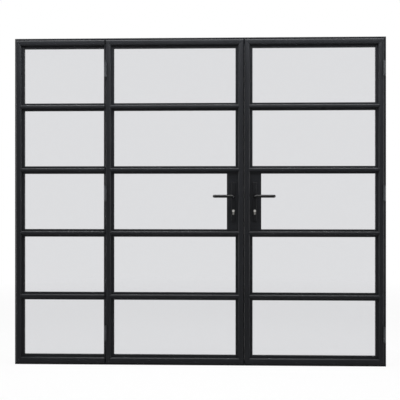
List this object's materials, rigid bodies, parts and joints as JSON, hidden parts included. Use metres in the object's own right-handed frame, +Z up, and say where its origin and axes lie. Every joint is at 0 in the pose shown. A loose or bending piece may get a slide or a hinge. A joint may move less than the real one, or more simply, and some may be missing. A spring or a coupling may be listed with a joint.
{
  "type": "glazed double door with side panel",
  "caption": "Black steel framed double door with a fixed glazed side panel, barred panes, lever handles, barrel hinges and lock, hung in one frame.",
  "frame": {"origin": "on the floor under the middle of the frame, at the middle of the leaves' depth", "axes": "+X to the right seen from the front, +Y from the front to the rear, +Z up"},
  "size_m": [2.336, 0.151, 2.062],
  "materials": {
    "frame_coat": "fine matt powder coat, anthracite black",
    "bead_coat": "fine matt powder coat on the glazing beads",
    "plate_coat": "satin black coat on the backplates",
    "lever_coat": "satin black coat on the round levers",
    "hinge_steel": "turned grey zinc-plated steel",
    "nickel": "satin nickel",
    "zinc_steel": "bright zinc-plated steel",
    "glass": "clear flat safety glass with a faint grey tone",
    "glazing_tape": "black closed-cell foam tape",
    "seal_rubber": "matt black rubber"
  },
  "bodies": {
    "frame": {"frame_left_jamb": "frame_coat", "frame_right_jamb": "frame_coat", "frame_head": "frame_coat", "frame_mullion": "frame_coat", "frame_threshold": "frame_coat", "side_stile": "frame_coat", "side_top_rail": "frame_coat", "side_bottom_rail": "frame_coat", "side_bars": "frame_coat", "side_glass": "glass", "side_beads": "bead_coat", "side_glazing_tape": "glazing_tape", "frame_gasket": "seal_rubber", "hinge_frame_halves": "hinge_steel", "hinge_pins": "hinge_steel"},
    "left_leaf": {"left_hinge_stile": "frame_coat", "left_meeting_stile": "frame_coat", "left_top_rail": "frame_coat", "left_bottom_rail": "frame_coat", "left_bars": "frame_coat", "left_lock_box": "frame_coat", "left_glass": "glass", "left_beads": "bead_coat", "left_glazing_tape": "glazing_tape", "left_hinge_leaf_halves": "hinge_steel", "left_lock_case": "zinc_steel", "left_forend": "nickel", "left_backplates": "plate_coat", "left_lock_screws": "zinc_steel", "left_cylinder": "nickel", "left_meeting_seal": "seal_rubber"},
    "right_leaf": {"right_hinge_stile": "frame_coat", "right_meeting_stile": "frame_coat", "right_top_rail": "frame_coat", "right_bottom_rail": "frame_coat", "right_bars": "frame_coat", "right_lock_box": "frame_coat", "right_glass": "glass", "right_beads": "bead_coat", "right_glazing_tape": "glazing_tape", "right_hinge_leaf_halves": "hinge_steel", "right_lock_case": "zinc_steel", "right_forend": "nickel", "right_backplates": "plate_coat", "right_lock_screws": "zinc_steel", "right_cylinder": "nickel"},
    "left_lever": {"left_levers": "lever_coat", "left_spindle": "zinc_steel", "left_lever_hub": "zinc_steel"},
    "right_lever": {"right_levers": "lever_coat", "right_spindle": "zinc_steel", "right_lever_hub": "zinc_steel"},
    "left_key": {"left_key_plugs": "nickel"},
    "right_key": {"right_key_plugs": "nickel"},
    "left_top_shoot_bolt": {"left_top_bolt": "zinc_steel"},
    "left_bottom_shoot_bolt": {"left_bottom_bolt": "zinc_steel"},
    "right_latch": {"right_latch_bolt": "nickel"},
    "right_dead": {"right_dead_bolt": "nickel"}
  },
  "joints": [
    {"name": "left_leaf_swing", "type": "hinge", "parent": "frame", "child": "left_leaf", "pos_m": [-0.5905, -0.0354, 1.031], "axis": [0, 0, -1], "range_deg": [0, 110]},
    {"name": "right_leaf_swing", "type": "hinge", "parent": "frame", "child": "right_leaf", "pos_m": [1.1555, -0.0354, 1.031], "axis": [0, 0, 1], "range_deg": [0, 110]},
    {"name": "left_lever_turn", "type": "hinge", "parent": "left_leaf", "child": "left_lever", "pos_m": [0.2155, 0, 1.064], "axis": [0, 1, 0], "range_deg": [0, 45]},
    {"name": "right_lever_turn", "type": "hinge", "parent": "right_leaf", "child": "right_lever", "pos_m": [0.3495, 0, 1.064], "axis": [0, 1, 0], "range_deg": [0, 40], "stiffness_Nm_per_rad": 3, "springref_deg": -34.38},
    {"name": "left_key_turn", "type": "hinge", "parent": "left_leaf", "child": "left_key", "pos_m": [0.2155, 0, 0.972], "axis": [0, 1, 0], "range_deg": [0, 360]},
    {"name": "right_key_turn", "type": "hinge", "parent": "right_leaf", "child": "right_key", "pos_m": [0.3495, 0, 0.972], "axis": [0, 1, 0], "range_deg": [0, 360]},
    {"name": "left_top_bolt_throw", "type": "slide", "parent": "left_leaf", "child": "left_top_shoot_bolt", "axis": [0, 0, 1], "range_m": [0, 0.009]},
    {"name": "left_bottom_bolt_throw", "type": "slide", "parent": "left_leaf", "child": "left_bottom_shoot_bolt", "axis": [0, 0, -1], "range_m": [0, 0.009]},
    {"name": "right_latch_throw", "type": "slide", "parent": "right_leaf", "child": "right_latch", "axis": [-1, 0, 0], "range_m": [0, 0.012]},
    {"name": "right_dead_bolt_throw", "type": "slide", "parent": "right_leaf", "child": "right_dead", "axis": [-1, 0, 0], "range_m": [0, 0.02]}
  ],
  "couplings": [
    {"joint": "left_top_bolt_throw", "follows": "left_lever_turn", "m_per_rad": 0.0114},
    {"joint": "left_bottom_bolt_throw", "follows": "left_lever_turn", "m_per_rad": 0.0114},
    {"joint": "right_key_turn", "follows": "right_dead_bolt_throw", "rad_per_m": 313}
  ]
}
